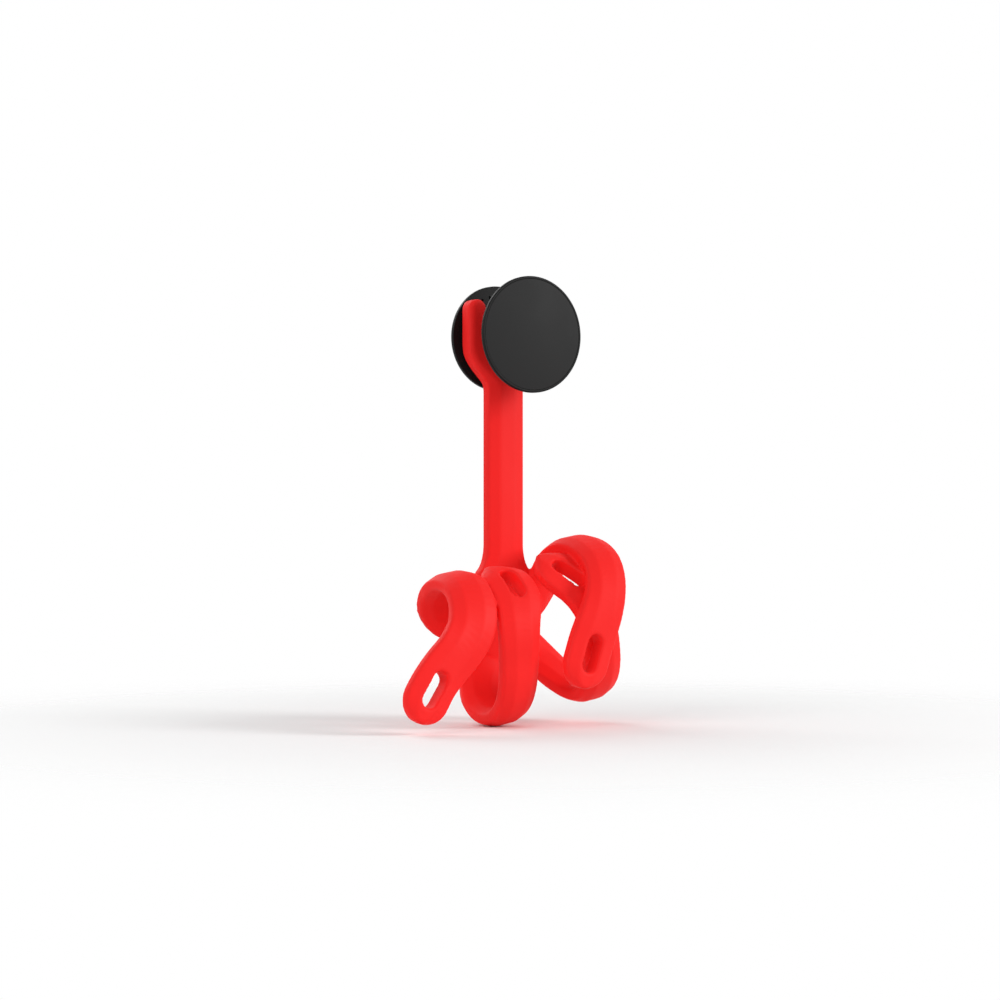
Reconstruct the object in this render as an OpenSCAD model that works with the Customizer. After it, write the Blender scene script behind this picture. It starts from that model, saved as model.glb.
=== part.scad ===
// Bendable mount: a silicone body with a fork, a stem and four legs that are wound round an axis,
// an armature of soft wire inside it, and the collapsible grip that the fork holds.
// Millimetres. The origin is on the axis that the legs are wound round, below the stem. +X runs
// along it to the right, +Y from the front of the grip to its base, +Z up.

/* [Winding] */
// Diameter that the legs are wound on
wrap_d = 30; // [26:0.5:36]
// Slope of the winding axis, rising to +X
wrap_tilt = 10; // [0:1:15]
// How far the soft legs are pressed in where they lie on that diameter
squeeze = 0.25; // [0.1:0.05:0.5]

/* [Silicone band] */
// Width of the stem and of the legs
band_w = 14.2; // [13:0.2:15.4]
// Thickness of the stem, the legs and the fork
band_t = 6.2; // [6:0.1:7.5]
// Width of the shallow bevel along each side of a face
bevel_w = 4.1; // [3:0.1:5]
// Depth of that bevel
bevel_d = 1.4; // [0.8:0.1:1.8]
// Width of the broken corner between a face and a side
corner = 0.4; // [0.2:0.1:0.6]

/* [Leg tips] */
// Width of the slot through a tip
slot_w = 6; // [5:0.1:6.4]
// Length of that slot, end to end
slot_len = 13.5; // [10:0.5:15]
// Distance from the end of a leg to the slot
slot_land = 5; // [4:0.5:7]

/* [Fork] */
// Height of the fork's centre above the winding axis
fork_h = 100.3; // [85:0.1:120]
// Width across the two prongs
fork_w = 30.6; // [30:0.1:32]
// Width of the gap between the prongs
fork_gap = 17.6; // [17:0.1:18]
// Height of the prongs' tops above the fork's centre
prong_h = 12.6; // [11.5:0.1:16]

/* [Wire core] */
// Diameter of the soft wires in the legs and the stem
wire_d = 2.4; // [2:0.1:2.6]
// Room round every piece that the silicone is moulded over
core_gap = 0.05; // [0.03:0.01:0.1]

/* [Grip] */
// Diameter of the grip's front disc
disc_d = 40; // [36:0.5:44]
// Diameter of the base disc, which is stuck on from behind
base_d = 36.6; // [34:0.2:42]
// Distance from the front face of the disc to the front face of the base, pulled out
grip_len = 22.5; // [21:0.1:24]
// Diameter of the grip's neck, which stands in the fork
neck_d = 17.2; // [16.4:0.1:17.4]
// Radial play of the neck's spigot in the base disc
spigot_gap = 0.08; // [0.03:0.01:0.1]

/* [Hidden] */

wrap_r = wrap_d / 2;
wrap_dir = [cos(wrap_tilt), 0, sin(wrap_tilt)];
wrap_up = [-sin(wrap_tilt), 0, cos(wrap_tilt)];
half_t = band_t / 2;
on_wrap = half_t - squeeze;
stem_y = wrap_r + half_t + 0.1;
prong_w = (fork_w - fork_gap) / 2;
wire_r = wire_d / 2;
stem_wire_x = 2.7;
stem_wire_z = 5.2;
plate_t = 0.9;
hub_half = wire_r + plate_t + 0.2;
rivet_zs = [-1, 9];
insert_half = 1.7;
insert_tab = fork_h - 24.3;
base_y = stem_y + half_t + 0.5;
face_y = base_y - grip_len;
disc_t = 1.5;
back_y = face_y + disc_t;
neck_y = stem_y - half_t - 0.3;
base_t = 1.2;

// Steps of a leg's sweep in each stretch between two stations
leg_steps = 3;
wire_steps = 2;
wire_sides = 8;

// A leg's stations: place along the winding axis, angle round it (0 above, 90 in front, 180 below,
// -90 behind), height of the leg's middle above the winding diameter, width, how far its outer face
// is turned from looking straight away from the axis, and its roll about its own run.
over_left = [
    [6, -84, 3.3, 14, 0, 0], [-3, -81, 3.3, 14, 0, 0], [-12, -79, 3.6, 14, 0, 0],
    [-21, -71, 4.4, 14, -4, 0], [-26, -54, 5.4, 14, 0, 0], [-27.5, -32, 6.1, 14, 0, 0],
    [-27.8, -8, 6.4, 14.4, 0, 0], [-28, 16, 5.8, 15, 0, 0], [-29.4, 38, 4.4, 15.6, 0, 0],
    [-31.8, 57, 3.2, 16, 0, 0], [-35, 72, on_wrap, 16, 0, 0], [-40.6, 88, on_wrap, 16, 0, 0],
    [-46.4, 101, 3.2, 16, -11, 0], [-51.6, 113, 4.7, 16, -23, 0], [-56, 124, 7.2, 16.2, -34, 0],
    [-60.8, 135, 11, 16.2, -45, 0]];
under_left = [
    [5, -88, 3.21, 14, -2, 0], [1, -101, 3.54, 14, 11, 0], [-6, -116, 5, 14, 20, 0],
    [-12.5, -132, 6.9, 14, 10, 0], [-16.5, -148, 8.8, 14, 0, 0], [-18, -164, 10.6, 14, 0, 0],
    [-18.5, -180, 11.5, 14, 0, 0], [-18.8, -196, 10.9, 14, 0, 0], [-18.7, -212, 8.8, 14, 0, 0],
    [-18.3, -228, 6, 14.2, 0, 0], [-17.6, -246, 3.4, 14.4, 0, 0], [-17, -266, on_wrap, 14.6, 0, 0],
    [-15.7, -286, on_wrap, 15, 0, 0], [-13.9, -302, on_wrap, 15.8, 0, 0], [-12.5, -315, 3.2, 16.8, 0, 0],
    [-11.9, -328, 3.8, 17, 0, 0], [-11.9, -340, 4.6, 17.2, 0, 0], [-13, -352, 5.2, 17.8, 0, 0],
    [-14.2, -362, 5.4, 17.8, 0, 0]];
over_right = [
    [-5, -82, 3.38, 14, -8, 0], [2, -80, 3.48, 14, -10, 0], [10, -73, 4.03, 14, -12, 0],
    [16.5, -60, 5.6, 14, -6, 0], [20.3, -44, 7.6, 14, 0, 0], [21.6, -26, 9, 14, 0, 0],
    [22.2, -6, 9.6, 14, 0, 0], [22.4, 14, 9.6, 14, 0, 0], [21.8, 34, 9.7, 14, 0, 0],
    [19.8, 51, 9.7, 14, 0, 0], [16.8, 67, 9.5, 14.2, 0, 0], [13.2, 81, 9.3, 15.2, 0, 0],
    [9.8, 93, 9.3, 16.4, -3, 0], [6.8, 104, 10, 16.6, -14, 0], [3.9, 115, 11.8, 16.6, -25, 0],
    [1.4, 123.5, 14, 16.6, -33, 0], [-0.4, 129, 16, 16.6, -39, 0]];
under_right = [
    [-4, -90, 3.2, 14, 0, 0], [2, -104, 3.76, 14, 14, 0], [8, -119, 4.8, 14, 20, 0],
    [12, -138, 5.8, 14, 8, 0], [14.2, -156, 7.6, 14, 0, 0], [16, -172, 9.6, 14, 0, 0],
    [17, -188, 10.8, 14, 0, 0], [17, -204, 9.2, 14, 0, 0], [16.4, -222, 6.4, 14, 0, 0],
    [15.8, -240, 4, 14, 0, 0], [15.2, -260, on_wrap, 14, 0, 0], [14.8, -280, on_wrap, 14.4, 0, 0],
    [13.8, -297, on_wrap, 15.2, 0, -2], [12.2, -312, 3.2, 16, 0, -5], [9.8, -326, 4.1, 17, 0, -8],
    [6.9, -340, 5.7, 17.4, 0, -10], [3.6, -352, 6.9, 17.4, 0, -10]];

function wrap_point(q) =
    q[0] * wrap_dir + (wrap_r + q[2]) * (cos(q[1]) * wrap_up - sin(q[1]) * [0, 1, 0]);
function unit(v) = v / norm(v);
function between(p, q, r, s, t) =
    (2 * q + (r - p) * t + (2 * p - 5 * q + 4 * r - s) * t * t + (3 * q - p - 3 * r + s) * t * t * t) / 2;
function at(list, i) = list[max(0, min(len(list) - 1, i))];
// The station at parameter u, counted in stations from the start of the list
function station(list, u) =
    let (i = max(0, min(len(list) - 2, floor(u))))
    between(at(list, i - 1), list[i], list[i + 1], at(list, i + 2), u - i);
function running(list) = [for (i = 0, s = 0; i < len(list); s = s + list[i], i = i + 1) s];

// A leg's run: for each fine step the parameter and the length from the start
function run_table(list, n = 120) =
    let (us = [for (i = [0:n]) i * (len(list) - 1) / n],
         ps = [for (u = us) wrap_point(station(list, u))],
         ls = running([for (i = [0:n]) i < n ? norm(ps[i + 1] - ps[i]) : 0]))
    [for (i = [0:n]) [ls[i], us[i]]];
function run_length(table) = table[len(table) - 1][0];
// The leg's place and its frame at length d: [middle, run, outward, across, width]
function leg_frame(list, table, d) =
    let (u = lookup(d, table),
         e = 0.02,
         q = station(list, u),
         c = wrap_point(q),
         run = unit(wrap_point(station(list, u + e)) - wrap_point(station(list, u - e))),
         face = q[1] + q[4],
         away = cos(face) * wrap_up - sin(face) * [0, 1, 0],
         level = unit(away - (away * run) * run),
         out = cos(q[5]) * level + sin(q[5]) * cross(run, level))
    [c, run, out, cross(run, out), q[3]];

// The section of the band: flat faces with shallow bevels, broken corners and upright sides
function band_section(w, t) =
    let (x = w / 2, y = t / 2, k = w / band_w,
         quarter = [[x - bevel_w * k, y], [x - corner * min(1, k), y - bevel_d],
                    [x, y - bevel_d - corner]])
    concat(quarter,
           [for (i = [2:-1:0]) [quarter[i][0], -quarter[i][1]]],
           [for (i = [0:2]) -quarter[i]],
           [for (i = [2:-1:0]) [-quarter[i][0], quarter[i][1]]]);

// Closes a stack of equal rings into one solid
module skin(rings) {
    n = len(rings[0]);
    m = len(rings);
    polyhedron(
        points = [for (r = rings) each r],
        faces = concat(
            [[for (j = [0:n - 1]) j]],
            [for (i = [0:m - 2], j = [0:n - 1])
                let (a = i * n + j, b = i * n + (j + 1) % n) each [[a, a + n, b], [b, a + n, b + n]]],
            [[for (j = [n - 1:-1:0]) (m - 1) * n + j]]));
}

// Width at a place that lies short of the end by left, where the full width is w
function rounded(w, left) = left >= w / 2 ? w : 2 * sqrt(max(0.01 * w * w, left * (w - left)));

// A leg starts inside the hub, thinner there by sunk, and has its full thickness once it is clear
module leg(list, sunk) {
    table = run_table(list);
    total = run_length(table);
    r = list[len(list) - 1][3] / 2;
    body_n = leg_steps * (len(list) - 1);
    round_at = [80, 65, 50, 35, 22, 11];
    ds = concat([for (i = [0:body_n]) i * (total - r) / body_n],
                [for (a = round_at) total - r + r * cos(a)]);
    skin([for (d = ds)
        let (f = leg_frame(list, table, min(d, total - 0.01)), w = rounded(f[4], total - d))
        let (t = band_t - sunk * (1 - max(0, min(1, (d - 18) / 10))))
        [for (p = band_section(w, t)) f[0] + p[0] * f[3] + p[1] * f[2]]]);
}

module tip_slot(list) {
    table = run_table(list);
    f = leg_frame(list, table, run_length(table) - slot_land - slot_len / 2);
    reach = (slot_len - slot_w) / 2;
    half = [for (a = [-90:22.5:90]) [reach + slot_w / 2 * cos(a), slot_w / 2 * sin(a)]];
    multmatrix([[f[1][0], f[3][0], f[2][0], f[0][0]],
                [f[1][1], f[3][1], f[2][1], f[0][1]],
                [f[1][2], f[3][2], f[2][2], f[0][2]],
                [0, 0, 0, 1]])
        translate([0, 0, -band_t])
        linear_extrude(2 * band_t)
        polygon(concat(half, -half));
}

// Round wire in a leg, from the hub to just short of the tip's slot
module leg_wire(list, gap = 0) {
    table = run_table(list);
    start = 10.5 - gap;
    end = run_length(table) - slot_land - slot_len - 1.5 + gap;
    n = wire_steps * (len(list) - 1);
    skin([for (i = [0:n])
        let (f = leg_frame(list, table, start + (end - start) * i / n))
        [for (j = [0:wire_sides - 1])
            let (a = 360 * (j + 0.5) / wire_sides)
            f[0] + (wire_r + gap) * (cos(a) * f[3] - sin(a) * f[2])]]);
}

// Straight wire in the stem; side is -1 or 1
module stem_wire(side, gap = 0) {
    translate([side * stem_wire_x, stem_y, stem_wire_z - gap])
        cylinder(r = wire_r + gap, h = insert_tab + 8 - stem_wire_z + 2 * gap);
}

module fork_insert_solid(gap = 0) {
    half_w = fork_w / 2 - 1.8 + gap;
    inner = fork_gap / 2 + 1.8 - gap;
    top = prong_h - 4 + gap;
    low = fork_h - insert_tab + gap;
    t = 2 * (insert_half + gap);
    translate([0, stem_y, fork_h])
        rotate([90, 0, 0])
        difference() {
            union() {
                cylinder(r = half_w, h = t, center = true);
                translate([0.3 - half_w, -1, -t / 2]) cube([2 * half_w - 0.6, top + 1, t]);
                translate([-4.6 - gap, -low, -t / 2]) cube([9.2 + 2 * gap, low - inner, t]);
            }
            cylinder(r = inner, h = t + 1, center = true);
            translate([-inner - 0.3, -1, -t]) cube([2 * inner + 0.6, half_w + 2, 2 * t]);
        }
}

// Outline of the hub's plates, from front to back along Y, with cut corners where the leg wires
// bend away from it
module hub_sheet(front, back, gap = 0) {
    x = 8 + gap;
    translate([0, back, 0])
        rotate([90, 0, 0])
        linear_extrude(back - front)
        polygon([[-4, -9 - gap], [4, -9 - gap], [x, -4], [x, 9], [4, 13 + gap], [-4, 13 + gap],
            [-x, 9], [-x, -4]]);
}

// One of the riveted pair of plates that holds the wires together; side is -1 in front, 1 behind
module hub_plate(side) {
    y = stem_y + side * hub_half;
    hub_sheet(min(y, y - side * plate_t), max(y, y - side * plate_t));
}

module rivet(z, gap = 0) {
    translate([0, stem_y, z])
        rotate([90, 0, 0]) {
            cylinder(r = 0.9 + gap, h = 2 * hub_half, center = true);
            for (side = [-1, 1])
                translate([0, 0, side * (hub_half + 0.2)])
                    cylinder(r = 1.7 + gap, h = 0.4 + 2 * gap, center = true);
        }
}

// The room that the wires, the plates and the insert take up in the silicone
module core_room() {
    g = core_gap;
    hub_sheet(stem_y - hub_half - g, stem_y + hub_half + g, g);
    for (z = rivet_zs) translate([0, stem_y, z])
        rotate([90, 0, 0]) cylinder(r = 1.7 + g, h = 2 * hub_half + 0.8 + 2 * g, center = true);
    for (list = [over_left, under_left, over_right, under_right]) leg_wire(list, g);
    for (side = [-1, 1]) stem_wire(side, g);
    fork_insert_solid(g);
}

module hub_clamp(side) {
    color([0.7, 0.7, 0.72])
    difference() {
        hub_plate(side);
        for (z = rivet_zs) rivet(z, core_gap);
    }
}

// Hub, stem and fork as a stack of level sections: height, half width, width and depth of the
// bevel, and half thickness
function stem_levels() =
    let (x = band_w / 2, w = fork_w / 2, top = fork_h + prong_h, r = prong_w / 2)
    concat(
        [[-12, 5, 2, 0.9, 2.4], [-11.3, 7, 2, 0.9, half_t], [-9, 10, 2, 0.9, half_t],
         [-5, 12, 3, 1.1, half_t], [6, 12.4, 3, 1.1, half_t], [13, 12, 3.8, 1.3, half_t]],
        [for (q = [[18.5, 10.6], [20, 9.3], [22, 8.2], [24.5, 7.5], [28, x], [fork_h - 18.6, x]])
            [q[0], q[1], bevel_w, bevel_d, half_t]],
        [[fork_h - 16.1, x + 0.4, 3.8, 1.3, half_t], [fork_h - 14.1, x + 2.1, 3.2, 1.2, half_t],
         [fork_h - 12.1, x + 3.9, 2.6, 1, half_t], [fork_h - 10, x + 5.7, 2, 0.9, half_t]],
        [for (q = [[-8, w - 1.3], [-5.9, w - 0.4], [-2.8, w], [prong_h - r, w]])
            [fork_h + q[0], q[1], 1.5, 0.8, half_t]],
        [for (a = [25, 45, 62])
            [top - r * (1 - sin(a)), w - r * (1 - cos(a)), 1.5 * cos(a), 0.8, half_t]],
        [[top - 0.05 * r, w - 0.75 * r, 0.3, 0.5, half_t - 0.6],
         [top, w - 0.95 * r, 0.2, 0.3, half_t - 1.1]]);

// The gap between the prongs, round below, with its mouth rounded out over the prongs' tops
module fork_mouth() {
    g = fork_gap / 2;
    r = prong_w / 2;
    side = concat([for (a = [90:-15:0]) [g * cos(a), -g * sin(a)]],
        [for (a = [0:22.5:67.5]) [g + r * (1 - cos(a)), prong_h - r * (1 - sin(a))]],
        [[g + r * 0.95, prong_h + 2]]);
    translate([0, stem_y + band_t, fork_h])
        rotate([90, 0, 0])
        linear_extrude(2 * band_t)
        polygon(concat(side, [for (i = [len(side) - 1:-1:1]) [-side[i][0], side[i][1]]]));
}

module stem_and_fork() {
    difference() {
        skin([for (q = stem_levels())
            let (x = q[1], i = x - q[2], t = q[4], u = t - q[3])
            [for (p = [[i, -t], [x, -u], [x, u], [i, t], [-i, t], [-x, u], [-x, -u], [-i, -t]])
                [p[0], stem_y + p[1], q[0]]]]);
        fork_mouth();
    }
}

module silicone_body() {
    color([0.95, 0.1, 0.1])
    difference() {
        union() {
            leg(over_left, 0.6);
            leg(under_left, 1.2);
            leg(over_right, 0.6);
            leg(under_right, 1.2);
            stem_and_fork();
        }
        for (list = [over_left, under_left, over_right, under_right]) tip_slot(list);
        rotate([0, 90 - wrap_tilt, 0]) translate([0, 0, -80]) cylinder(r = wrap_r, h = 160);
        core_room();
    }
}

module fork_insert() {
    color([0.25, 0.25, 0.27])
    difference() {
        fork_insert_solid();
        for (side = [-1, 1]) stem_wire(side, core_gap);
    }
}
module stem_wire_left() { color([0.8, 0.8, 0.82]) stem_wire(-1); }
module stem_wire_right() { color([0.8, 0.8, 0.82]) stem_wire(1); }
module hub_clamp_front() { hub_clamp(-1); }
module hub_clamp_back() { hub_clamp(1); }
module hub_rivet_upper() { color([0.6, 0.6, 0.62]) rivet(rivet_zs[1]); }
module hub_rivet_lower() { color([0.6, 0.6, 0.62]) rivet(rivet_zs[0]); }
module leg_wire_over_left() { color([0.8, 0.8, 0.82]) leg_wire(over_left); }
module leg_wire_under_left() { color([0.8, 0.8, 0.82]) leg_wire(under_left); }
module leg_wire_over_right() { color([0.8, 0.8, 0.82]) leg_wire(over_right); }
module leg_wire_under_right() { color([0.8, 0.8, 0.82]) leg_wire(under_right); }

// A turned piece of the grip: points are radius and place along Y
module turned(points) {
    translate([0, 0, fork_h]) rotate([-90, 0, 0]) rotate_extrude() polygon(points);
}

module foot_ring() {
    r = neck_d / 2;
    color([0.1, 0.1, 0.1])
    turned([[6.4, neck_y], [r, neck_y], [r, base_y - 0.3], [7.5, base_y - 0.3], [7.5, base_y + 0.55],
        [9.2, base_y + 0.55], [9.2, base_y + base_t - 0.1], [6.4, base_y + base_t - 0.1]]);
}

module accordion() {
    y = back_y + 1.4;
    color([0.13, 0.13, 0.13])
    turned([[8.5, neck_y], [8.5, y + 11.8], [7.2, y + 8.6], [7.9, y + 8.1], [7.6, y + 7.6],
        [6.3, y + 4.8], [7, y + 4.3], [6.7, y + 3.8], [5.4, y + 1.1], [6.6, y + 0.8], [6.6, y],
        [3.4, y], [3.4, y + 0.7], [4.5, y + 0.7], [4.5, y + 1.4], [5.7, y + 3.9], [5.95, y + 4.3],
        [5.35, y + 4.9], [6.6, y + 7.7], [6.85, y + 8.1], [6.3, y + 8.7], [7.6, y + 11.9],
        [7.6, neck_y]]);
}

module retaining_ring() {
    y = back_y + 2.1;
    color([0.7, 0.7, 0.72]) turned([[3.35, y], [4.35, y], [4.35, y + 0.8], [3.35, y + 0.8]]);
}

module top_platform() {
    color([0.09, 0.09, 0.09])
    turned([[0, back_y], [12, back_y], [12, back_y + 1], [11.6, back_y + 1.4], [3.3, back_y + 1.4],
        [3.3, back_y + 3.2], [3, back_y + 3.5], [0, back_y + 3.5]]);
}

module top_cap() {
    r = disc_d / 2;
    color([0.08, 0.08, 0.08])
    turned([[0, face_y + 0.2], [r - 0.9, face_y + 0.2], [r - 0.9, face_y], [r - 0.3, face_y],
        [r, face_y + 0.3], [r, back_y - 0.3], [r - 0.3, back_y], [0, back_y]]);
}

module cap_film() {
    color([0.05, 0.05, 0.05])
    turned([[0, face_y], [disc_d / 2 - 1, face_y], [disc_d / 2 - 1, face_y + 0.2], [0, face_y + 0.2]]);
}

module base_plate() {
    r = base_d / 2;
    color([0.08, 0.08, 0.08])
    difference() {
        turned([[7.5 + spigot_gap, base_y], [r - 0.2, base_y], [r, base_y + 0.2], [r, base_y + base_t],
            [9.3, base_y + base_t], [9.3, base_y + 0.5], [7.5 + spigot_gap, base_y + 0.5]]);
        for (a = [103, 116])
            translate([14.5 * cos(a), base_y - 0.1, fork_h + 14.5 * sin(a)])
                rotate([-90, 0, 0]) cylinder(r = 0.6, h = 0.6);
    }
}

module adhesive_pad() {
    y = base_y + base_t;
    color([0.3, 0.3, 0.3])
    turned([[0, y], [base_d / 2 - 0.5, y], [base_d / 2 - 0.5, y + 0.6], [0, y + 0.6]]);
}

silicone_body();
fork_insert();
stem_wire_left();
stem_wire_right();
hub_clamp_front();
hub_clamp_back();
hub_rivet_upper();
hub_rivet_lower();
leg_wire_over_left();
leg_wire_under_left();
leg_wire_over_right();
leg_wire_under_right();
foot_ring();
accordion();
retaining_ring();
top_platform();
top_cap();
cap_film();
base_plate();
adhesive_pad();
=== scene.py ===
# %% [markdown]
# A bendable mount, dressed in Blender. It is one soft red silicone moulding with a fork, a stem and four
# slotted legs, and a black collapsible grip whose neck stands in the fork.
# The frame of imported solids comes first, because every piece below takes its place and size from it.

# %% Load the frame
import math

import bmesh
import bpy
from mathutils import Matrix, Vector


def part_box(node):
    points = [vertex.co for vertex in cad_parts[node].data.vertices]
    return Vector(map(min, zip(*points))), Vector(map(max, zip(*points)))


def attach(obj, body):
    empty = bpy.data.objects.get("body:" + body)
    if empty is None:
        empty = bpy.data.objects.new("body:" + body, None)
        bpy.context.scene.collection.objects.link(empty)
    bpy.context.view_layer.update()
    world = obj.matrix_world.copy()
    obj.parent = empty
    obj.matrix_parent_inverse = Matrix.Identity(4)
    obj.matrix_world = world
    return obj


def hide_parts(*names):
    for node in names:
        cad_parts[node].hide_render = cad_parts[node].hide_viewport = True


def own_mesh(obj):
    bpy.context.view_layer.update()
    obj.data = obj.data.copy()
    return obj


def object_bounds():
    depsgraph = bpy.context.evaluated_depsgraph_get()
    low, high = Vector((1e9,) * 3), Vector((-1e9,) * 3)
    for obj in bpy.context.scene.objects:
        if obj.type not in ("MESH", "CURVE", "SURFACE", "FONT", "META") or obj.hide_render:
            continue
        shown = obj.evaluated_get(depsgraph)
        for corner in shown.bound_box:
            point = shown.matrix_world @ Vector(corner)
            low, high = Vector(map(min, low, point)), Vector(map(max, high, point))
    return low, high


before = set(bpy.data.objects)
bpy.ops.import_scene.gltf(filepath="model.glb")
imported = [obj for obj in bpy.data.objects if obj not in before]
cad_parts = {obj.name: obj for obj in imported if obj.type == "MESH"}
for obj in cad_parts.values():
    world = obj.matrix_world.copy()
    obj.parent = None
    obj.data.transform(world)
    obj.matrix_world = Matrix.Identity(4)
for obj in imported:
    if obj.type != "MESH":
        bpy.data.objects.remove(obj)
first_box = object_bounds()
MM = 0.001

# %% [markdown]
# Surface grain. Moulded silicone and plastic are never perfectly even: a fine texture from the mould
# catches the light, and a broad cloud changes the gloss a little. Each material could have its own
# noise, but one node group with its scales as inputs gives both to all of them.

# %% Surface grain
def grain_group():
    """A node group with a fine height and a broad cloud, both from 0 to 1."""
    group = bpy.data.node_groups.new("grain", "ShaderNodeTree")
    for label in ("Fine Scale", "Cloud Scale"):
        socket = group.interface.new_socket(label, in_out="INPUT", socket_type="NodeSocketFloat")
        socket.default_value = 100
    group.interface.new_socket("Stretch", in_out="INPUT", socket_type="NodeSocketVector")
    group.interface.new_socket("Fine", in_out="OUTPUT", socket_type="NodeSocketFloat")
    group.interface.new_socket("Cloud", in_out="OUTPUT", socket_type="NodeSocketFloat")
    nodes, links = group.nodes, group.links
    inside = nodes.new("NodeGroupInput")
    outside = nodes.new("NodeGroupOutput")
    place = nodes.new("ShaderNodeTexCoord")
    stretch = nodes.new("ShaderNodeVectorMath")
    stretch.operation = "MULTIPLY"
    links.new(place.outputs["Object"], stretch.inputs[0])
    links.new(inside.outputs["Stretch"], stretch.inputs[1])
    for label, detail in (("Fine", 3), ("Cloud", 2)):
        noise = nodes.new("ShaderNodeTexNoise")
        noise.inputs["Detail"].default_value = detail
        links.new(stretch.outputs["Vector"], noise.inputs["Vector"])
        links.new(inside.outputs[label + " Scale"], noise.inputs["Scale"])
        links.new(noise.outputs["Fac"], outside.inputs[label])
    return group


GRAIN = grain_group()
print("grain outputs:", [s.name for s in GRAIN.interface.items_tree if s.in_out == "OUTPUT"])

# %% [markdown]
# A finish. One Principled shader makes every surface here. The cloud mixes two near tones and moves the
# roughness between two values, and the fine grain tilts the normal through a Bump node. Metal and
# specular are the same all over, so they are set on the shader itself.

# %% Finish of a surface
GRAIN_DEPTH = 0.5 * MM
CLOUD_LOW, CLOUD_HIGH = 0.3, 0.7


def surface(name, tone, shade, rough, fine, cloud, bump, stretch=(1, 1, 1), metal=0, specular=0.5):
    """A material of two near tones, a gloss that varies between two values, and a fine grain."""
    material = bpy.data.materials.new(name)
    material.use_nodes = True
    nodes, links = material.node_tree.nodes, material.node_tree.links
    shader = nodes["Principled BSDF"]
    shader.inputs["Metallic"].default_value = metal
    shader.inputs["Specular IOR Level"].default_value = specular
    grain = nodes.new("ShaderNodeGroup")
    grain.node_tree = GRAIN
    grain.inputs["Fine Scale"].default_value = fine
    grain.inputs["Cloud Scale"].default_value = cloud
    grain.inputs["Stretch"].default_value = stretch
    tones = nodes.new("ShaderNodeMix")
    tones.data_type = "RGBA"
    tones.inputs["A"].default_value = (*tone, 1)
    tones.inputs["B"].default_value = (*shade, 1)
    links.new(grain.outputs["Cloud"], tones.inputs["Factor"])
    links.new(tones.outputs["Result"], shader.inputs["Base Color"])
    gloss = nodes.new("ShaderNodeMapRange")
    gloss.inputs["From Min"].default_value = CLOUD_LOW
    gloss.inputs["From Max"].default_value = CLOUD_HIGH
    gloss.inputs["To Min"].default_value = rough[0]
    gloss.inputs["To Max"].default_value = rough[1]
    links.new(grain.outputs["Cloud"], gloss.inputs["Value"])
    links.new(gloss.outputs["Result"], shader.inputs["Roughness"])
    raised = nodes.new("ShaderNodeBump")
    raised.inputs["Strength"].default_value = bump
    raised.inputs["Distance"].default_value = GRAIN_DEPTH
    links.new(grain.outputs["Fine"], raised.inputs["Height"])
    links.new(raised.outputs["Normal"], shader.inputs["Normal"])
    return material


print("grain at most", GRAIN_DEPTH / MM, "mm deep")

# %% [markdown]
# Materials. The silicone is a clear, warm red with a dry, matte skin. The grip is black plastic with
# a fine spark texture, and its face film is flatter and more matte. The hidden wires and plates are
# bare metal with a grain that is stretched one way, as drawing and rolling leave it.

# %% Materials
RED = surface("red silicone", tone=(0.94, 0.017, 0.015), shade=(0.90, 0.013, 0.012),
              rough=(0.54, 0.66), fine=3200, cloud=40, bump=0.10, specular=0.18)
BLACK = surface("black plastic", tone=(0.005, 0.005, 0.005), shade=(0.008, 0.008, 0.008),
                rough=(0.44, 0.54), fine=4500, cloud=120, bump=0.12, specular=0.12)
FILM = surface("face film", tone=(0.018, 0.018, 0.018), shade=(0.023, 0.023, 0.023),
               rough=(0.56, 0.64), fine=6000, cloud=60, bump=0.04, specular=0.12)
RUBBER = surface("black elastomer", tone=(0.016, 0.016, 0.016), shade=(0.022, 0.022, 0.022),
                 rough=(0.55, 0.70), fine=3000, cloud=150, bump=0.15, specular=0.35)
FOAM = surface("foam tape", tone=(0.06, 0.06, 0.06), shade=(0.10, 0.10, 0.10),
               rough=(0.75, 0.9), fine=7000, cloud=900, bump=0.6, specular=0.3)
WIRE = surface("soft drawn wire", tone=(0.62, 0.62, 0.64), shade=(0.52, 0.52, 0.54),
               rough=(0.28, 0.42), fine=9000, cloud=700, bump=0.15, stretch=(1, 1, 0.05), metal=1)
PLATE = surface("pressed steel", tone=(0.46, 0.46, 0.48), shade=(0.38, 0.38, 0.40),
                rough=(0.30, 0.45), fine=6000, cloud=300, bump=0.15, stretch=(0.06, 1, 1), metal=1)
RIVET = surface("satin steel", tone=(0.55, 0.55, 0.56), shade=(0.46, 0.46, 0.47),
                rough=(0.25, 0.38), fine=5000, cloud=500, bump=0.10, metal=1)
INSERT = surface("insert plastic", tone=(0.05, 0.05, 0.055), shade=(0.08, 0.08, 0.085),
                 rough=(0.45, 0.60), fine=2500, cloud=180, bump=0.20)
print("materials:", len(bpy.data.materials))

# %% [markdown]
# Hidden pieces keep their solids: wires, plates, rivets and the fork's insert sit inside the silicone,
# and a thin ring holds the neck behind the front disc. They only take their finish here, so that a cut
# or an exploded view shows what they are made of.

# %% Dress the hidden pieces
def dress(node, material):
    """Puts a material in every slot of a solid."""
    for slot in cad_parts[node].material_slots:
        slot.material = material


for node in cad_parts:
    if "wire" in node:
        dress(node, WIRE)
    elif "clamp" in node or node == "retaining_ring":
        dress(node, PLATE)
    elif "rivet" in node:
        dress(node, RIVET)
dress("fork_insert", INSERT)
print("hidden pieces dressed")

# %% [markdown]
# From mesh to piece. A new piece needs outward normals, smooth faces, a material and a body to ride on,
# and the solid that it replaces is hidden. The same steps come with every piece, so one function does
# them.

# %% From mesh to piece
WELD = 0.001 * MM


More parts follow.
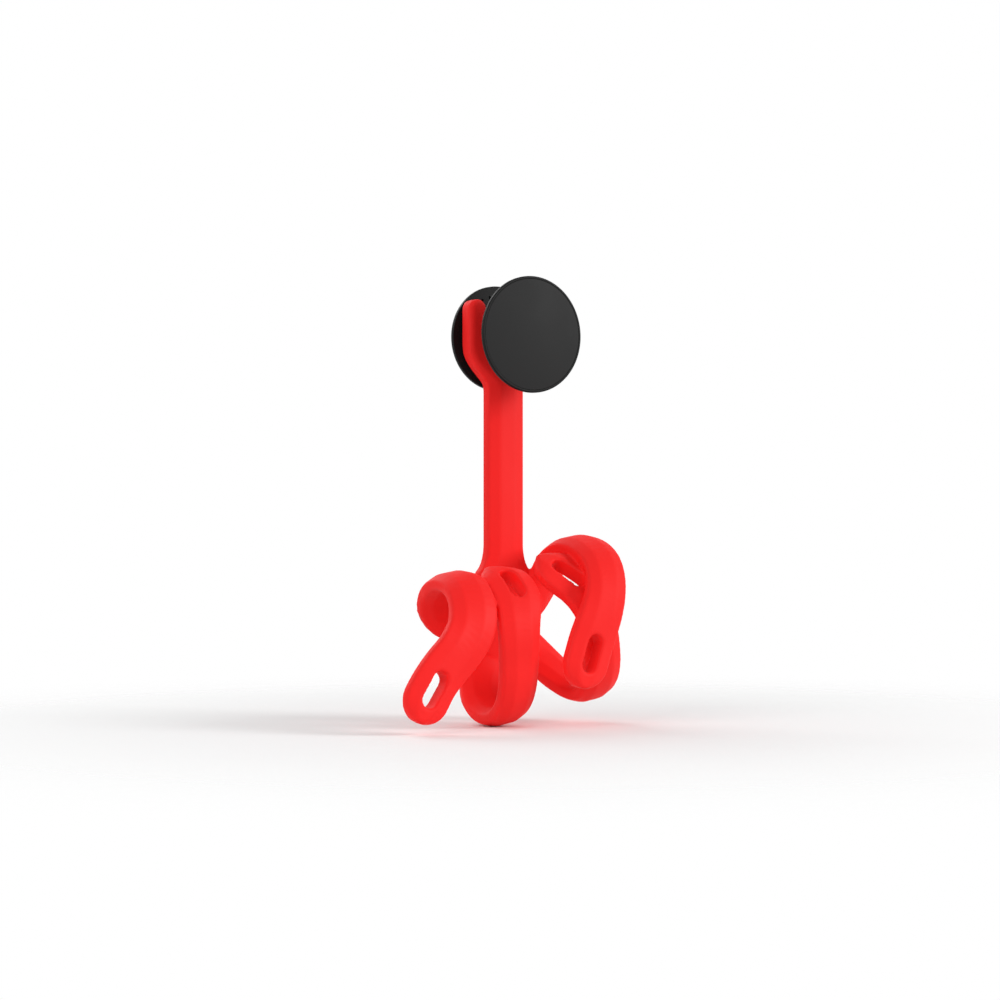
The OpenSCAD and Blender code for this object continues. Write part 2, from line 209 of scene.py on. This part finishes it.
def mesh_piece(name, bm, material, body, node):
    """Turns a bmesh into a piece that rides on a body and hides the solid that it replaces."""
    bmesh.ops.remove_doubles(bm, verts=bm.verts, dist=WELD)
    bmesh.ops.recalc_face_normals(bm, faces=bm.faces)
    for face in bm.faces:
        face.smooth = True
    mesh = bpy.data.meshes.new(name)
    bm.to_mesh(mesh)
    bm.free()
    piece = bpy.data.objects.new(name, mesh)
    bpy.context.scene.collection.objects.link(piece)
    mesh.materials.append(material)
    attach(piece, body)
    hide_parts(node)
    print(name, "rides on", body, "with", len(mesh.polygons), "faces")
    return piece


print("points within", round(WELD / MM, 4), "mm become one")

# %% [markdown]
# The silicone moulding. The solid gives the true form with crisp edges; the real one comes out of its
# mould with every edge softened. It could be bevelled edge by edge, but where the four legs flow into
# the hub the edges cross at odd angles. A fine voxel skin over the solid, then a little smoothing,
# softens all of them alike. The skin has to have one shell, so the hollow for the wires goes first. The
# solid's triangles are merged at their points, they then fall into groups that hang together, and all
# but the largest group are deleted.

# %% Outer shell of the moulding
def islands(bm):
    """Groups the faces of a bmesh that hang together."""
    left = set(bm.faces)
    found = []
    while left:
        stack = [left.pop()]
        group = list(stack)
        while stack:
            face = stack.pop()
            for edge in face.edges:
                for other in edge.link_faces:
                    if other in left:
                        left.discard(other)
                        group.append(other)
                        stack.append(other)
        found.append(group)
    return found


MERGE = 0.01 * MM
bm = bmesh.new()
bm.from_mesh(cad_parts["silicone_body"].data)
bmesh.ops.remove_doubles(bm, verts=bm.verts, dist=MERGE)
shells = sorted(islands(bm), key=len, reverse=True)
hollow = [face for shell in shells[1:] for face in shell]
bmesh.ops.delete(bm, geom=hollow, context="FACES")
print("shells in the solid:", len(shells), "faces of the hollow left out:", len(hollow))

# %% [markdown]
# The skin itself. Voxels of half a millimetre are small enough for the slots and the legs' edges, and
# still keep the piece under 200,000 triangles. Smoothing shrinks the form a little, so the skin then
# swells outwards by as much. The swelling stays under the play that the grip's neck has in the fork.

# %% Soft skin of the moulding
VOXEL = 0.53 * MM
SWELL = 0.15 * MM
moulding = mesh_piece("silicone_moulding", bm, RED, "mount", "silicone_body")
remesh = moulding.modifiers.new("voxel skin", "REMESH")
remesh.mode = "VOXEL"
remesh.voxel_size = VOXEL
remesh.use_smooth_shade = True
soften = moulding.modifiers.new("soft edges", "SMOOTH")
soften.factor = 0.5
soften.iterations = 3
swell = moulding.modifiers.new("lost skin", "DISPLACE")
swell.mid_level = 0
swell.strength = SWELL
skin = moulding.evaluated_get(bpy.context.evaluated_depsgraph_get()).data
print("triangles in the skin:", sum(len(face.vertices) - 2 for face in skin.polygons))

# %% [markdown]
# Turned parts. The grip is a row of them on one axis, which runs front to back (Y) through the middle
# of the front disc. Each could be a cylinder with rings cut in, but a profile that spins round the axis
# keeps every radius and depth in sight. Its sharp rings then get a small bevel, because it is the
# broken edge that draws a fine line of light round a disc.

# %% Turned parts
def extent(node):
    """The front, the back and the radius of a turned solid."""
    low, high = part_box(node)
    return low[1], high[1], (high[2] - low[2]) / 2


low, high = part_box("top_cap")
AXIS_Z = (low[2] + high[2]) / 2
STEPS = 160
SHARP = 0.6


def turned(profile, edge):
    """Spins a closed profile of (radius, y) round the grip's axis and rounds its sharp rings."""
    bm = bmesh.new()
    points = [bm.verts.new((r, y, AXIS_Z)) for r, y in profile]
    lines = [bm.edges.new((points[i], points[i - 1])) for i in range(len(points))]
    bmesh.ops.spin(bm, geom=points + lines, cent=(0, 0, AXIS_Z), axis=(0, 1, 0), angle=2 * math.pi,
                   steps=STEPS, use_merge=True)
    bmesh.ops.remove_doubles(bm, verts=bm.verts, dist=WELD)
    bmesh.ops.recalc_face_normals(bm, faces=bm.faces)
    rings = [e for e in bm.edges if len(e.link_faces) == 2 and e.calc_face_angle() > SHARP]
    bmesh.ops.bevel(bm, geom=rings, offset=edge, offset_type="OFFSET", affect="EDGES", segments=3,
                    profile=0.5, material=-1, clamp_overlap=True)
    return bm


def round_plate(node, edge):
    """A plain round plate as large as a solid."""
    front, back, radius = extent(node)
    return turned([(0, front), (radius, front), (radius, back), (0, back)], edge)


print("grip axis at z", round(AXIS_Z, 4))

# %% [markdown]
# The front disc of the grip: a cap with a thin raised rim, and a smooth film set inside the rim.
# A small cone breaks the rim's outer corners. The film is a piece of its own, because its finish is
# flatter and more matte than the cap's.

# %% Front disc
FILM_SEAT = 0.2 * MM
RIM_WIDTH = 0.9 * MM
RIM_CONE = 0.3 * MM
front, back, radius = extent("top_cap")
cap_profile = [
    (0, front + FILM_SEAT), (radius - RIM_WIDTH, front + FILM_SEAT), (radius - RIM_WIDTH, front),
    (radius - RIM_CONE, front), (radius, front + RIM_CONE), (radius, back - RIM_CONE),
    (radius - RIM_CONE, back), (0, back)]
mesh_piece("disc_cap", turned(cap_profile, edge=0.08 * MM), BLACK, "grip_top", "top_cap")
mesh_piece("disc_film", round_plate("cap_film", edge=0.06 * MM), FILM, "grip_top", "cap_film")
print("disc", round(radius * 2 / MM, 2), "mm across")

# %% [markdown]
# Behind the disc lies a low platform. A short stub in its middle goes into the neck, where a thin ring
# on it holds the neck's front edge. The stub's end tapers, so that the ring can be pushed on.

# %% Platform
PLATFORM_T = 1.4 * MM
PLATFORM_CONE = 0.4 * MM
STUB_R, STUB_TIP_R = 3.3 * MM, 3.0 * MM
TAPER_START = 3.2 * MM
front, back, radius = extent("top_platform")
platform_profile = [
    (0, front), (radius, front), (radius, front + PLATFORM_T - PLATFORM_CONE),
    (radius - PLATFORM_CONE, front + PLATFORM_T), (STUB_R, front + PLATFORM_T),
    (STUB_R, front + TAPER_START), (STUB_TIP_R, back), (0, back)]
mesh_piece("disc_platform", turned(platform_profile, edge=0.12 * MM), BLACK, "grip_top", "top_platform")
print("platform", round(radius * 2 / MM, 2), "mm across")

# %% [markdown]
# The neck's foot stands in front of the base disc, and a collar behind it goes through the disc's hole
# and ends in a lip. So the base disc can turn on the foot and can't come off.

# %% Neck's foot
BORE_R, COLLAR_R, LIP_R = 6.4 * MM, 7.5 * MM, 9.2 * MM
PLAY = 0.3 * MM
LIP_START = 0.55 * MM
base_front = extent("base_plate")[0]
front, back, radius = extent("foot_ring")
foot_profile = [
    (BORE_R, front), (radius, front), (radius, base_front - PLAY), (COLLAR_R, base_front - PLAY),
    (COLLAR_R, base_front + LIP_START), (LIP_R, base_front + LIP_START), (LIP_R, back),
    (BORE_R, back)]
mesh_piece("neck_foot", turned(foot_profile, edge=0.10 * MM), BLACK, "grip_neck", "foot_ring")
print("foot", round(radius * 2 / MM, 2), "mm across")

# %% [markdown]
# The collapsing neck is a soft accordion cone. Its folds get wider towards the foot, and tuck into each
# other when the disc is pressed in. One profile with an outer and an inner side makes the thin wall.
# The neck joins two rigid bodies; here it rides on the neck's body and gets a mesh of its own.
# The two sides are given in millimetres, as radius and distance behind the platform.

# %% Accordion neck
OUTER_SIDE = [(8.5, 12.6), (8.5, 11.8), (7.2, 8.6), (7.9, 8.1), (7.6, 7.6), (6.3, 4.8), (7.0, 4.3),
              (6.7, 3.8), (5.4, 1.1), (6.6, 0.8), (6.6, 0.0)]
INNER_SIDE = [(3.4, 0.0), (3.4, 0.7), (4.5, 0.7), (4.5, 1.4), (5.7, 3.9), (5.95, 4.3), (5.35, 4.9),
              (6.6, 7.7), (6.85, 8.1), (6.3, 8.7), (7.6, 11.9), (7.6, 12.6)]
front, back = extent("accordion")[:2]
wall = [(r * MM, front + y * MM) for r, y in OUTER_SIDE + INNER_SIDE]
folds = mesh_piece("accordion_cone", turned(wall, edge=0.12 * MM), RUBBER, "grip_neck", "accordion")
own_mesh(folds)

# %% [markdown]
# The base disc is thin, with a broken rim, two small round dimples that show beside the fork and a
# stepped hole for the foot's collar. The solid has all of that, so it keeps its form and only takes
# its finish. Behind it lies a foam pad with adhesive; its cut edge is a little soft.

# %% Base disc and pad
dress("base_plate", BLACK)
mesh_piece("foam_pad", round_plate("adhesive_pad", edge=0.08 * MM), FOAM, "grip_base", "adhesive_pad")
print("pad", round(extent("adhesive_pad")[2] * 2 / MM, 2), "mm across")

# %% [markdown]
# The stage is a pale floor that keeps the soft shadow. It turns clear with the distance, so that it
# fades into the white backdrop and no horizon line cuts through the picture.

# %% Floor
FLOOR_R = 3
FADE_FROM, FADE_TO = 0.03, 0.32
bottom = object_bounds()[0].z
bm = bmesh.new()
bmesh.ops.create_circle(bm, cap_ends=True, segments=96, radius=FLOOR_R)
bmesh.ops.translate(bm, verts=bm.verts, vec=(0, 0, bottom))
mesh = bpy.data.meshes.new("floor")
bm.to_mesh(mesh)
bm.free()
floor = bpy.data.objects.new("floor", mesh)
bpy.context.scene.collection.objects.link(floor)
matte = bpy.data.materials.new("pale floor")
matte.use_nodes = True
nodes, links = matte.node_tree.nodes, matte.node_tree.links
paint = nodes["Principled BSDF"]
paint.inputs["Base Color"].default_value = (0.93, 0.93, 0.93, 1)
paint.inputs["Roughness"].default_value = 0.8
place = nodes.new("ShaderNodeTexCoord")
away = nodes.new("ShaderNodeVectorMath")
away.operation = "LENGTH"
fade = nodes.new("ShaderNodeMapRange")
fade.interpolation_type = "SMOOTHERSTEP"
fade.inputs["From Min"].default_value = FADE_FROM
fade.inputs["From Max"].default_value = FADE_TO
clear = nodes.new("ShaderNodeBsdfTransparent")
mix = nodes.new("ShaderNodeMixShader")
links.new(place.outputs["Object"], away.inputs[0])
links.new(away.outputs["Value"], fade.inputs["Value"])
links.new(fade.outputs["Result"], mix.inputs["Fac"])
links.new(paint.outputs["BSDF"], mix.inputs[1])
links.new(clear.outputs["BSDF"], mix.inputs[2])
links.new(mix.outputs["Shader"], nodes["Material Output"].inputs["Surface"])
mesh.materials.append(matte)
print("floor at", round(bottom, 4))

# %% [markdown]
# The backdrop is white only to the rays that show it: those of the camera, and those that mirror or
# pass through. To all other rays it is dimmer, so it lends the object no extra light.

# %% White backdrop
TO_THE_EYE, AS_LIGHT = 1.0, 0.38
world = bpy.data.worlds.new("pale room")
bpy.context.scene.world = world
world.use_nodes = True
nodes, links = world.node_tree.nodes, world.node_tree.links
rays = nodes.new("ShaderNodeLightPath")
seen = rays.outputs["Is Camera Ray"]
for label in ("Is Glossy Ray", "Is Transmission Ray"):
    either = nodes.new("ShaderNodeMath")
    either.operation = "MAXIMUM"
    links.new(seen, either.inputs[0])
    links.new(rays.outputs[label], either.inputs[1])
    seen = either.outputs["Value"]
glow = nodes.new("ShaderNodeMapRange")
glow.inputs["To Min"].default_value = AS_LIGHT
glow.inputs["To Max"].default_value = TO_THE_EYE
links.new(seen, glow.inputs["Value"])
links.new(glow.outputs["Result"], nodes["Background"].inputs["Strength"])
nodes["Background"].inputs["Color"].default_value = (1, 1, 1, 1)
print("backdrop strength", TO_THE_EYE, "to the eye,", AS_LIGHT, "as light")

# %% [markdown]
# Soft studio light: a wide key from the right, which throws the disc's shadow to the left and lights
# the stem's right bevel as in the photograph, a large fill from the left for the edges that face it,
# and a rim light from behind. All three aim at the middle of the object.

# %% Lights
middle = (first_box[0] + first_box[1]) / 2


def softbox(name, place, width, power):
    """A square area lamp, turned to the middle of the object."""
    lamp = bpy.data.lights.new(name, "AREA")
    lamp.size = width
    lamp.energy = power
    holder = bpy.data.objects.new(name, lamp)
    holder.location = place
    holder.rotation_euler = (middle - holder.location).to_track_quat("-Z", "Y").to_euler()
    bpy.context.scene.collection.objects.link(holder)


softbox("key", place=(0.60, -0.60, 0.38), width=0.34, power=5.2)
softbox("fill", place=(-0.80, -0.30, 0.32), width=0.60, power=3.4)
softbox("rim", place=(-0.10, 0.65, 0.55), width=0.50, power=2)
print("lamps:", len(bpy.data.lights))

# %% [markdown]
# The camera stands to the left of the mount and almost level with it, as in the photograph. Its place,
# its turn and its lens were found together, by fitting straight edges and the outlines of the discs.

# %% Camera
TILT, HEADING = 90.729, -32.337
lens = bpy.data.cameras.new("camera")
lens.lens = 87.94
lens.sensor_width = 36
camera = bpy.data.objects.new("camera", lens)
camera.location = (-0.45603, -0.70007, 0.03299)
camera.rotation_euler = (math.radians(TILT), 0, math.radians(HEADING))
bpy.context.scene.collection.objects.link(camera)
bpy.context.scene.camera = camera
bpy.context.scene.view_settings.view_transform = "Standard"
print("lens", lens.lens, "mm")

# %% [markdown]
# Last, the bounds of the solids, taken before any piece was added, are printed.

# %% Bounds of the solids
print("solids", [round(v, 4) for c in first_box for v in c])
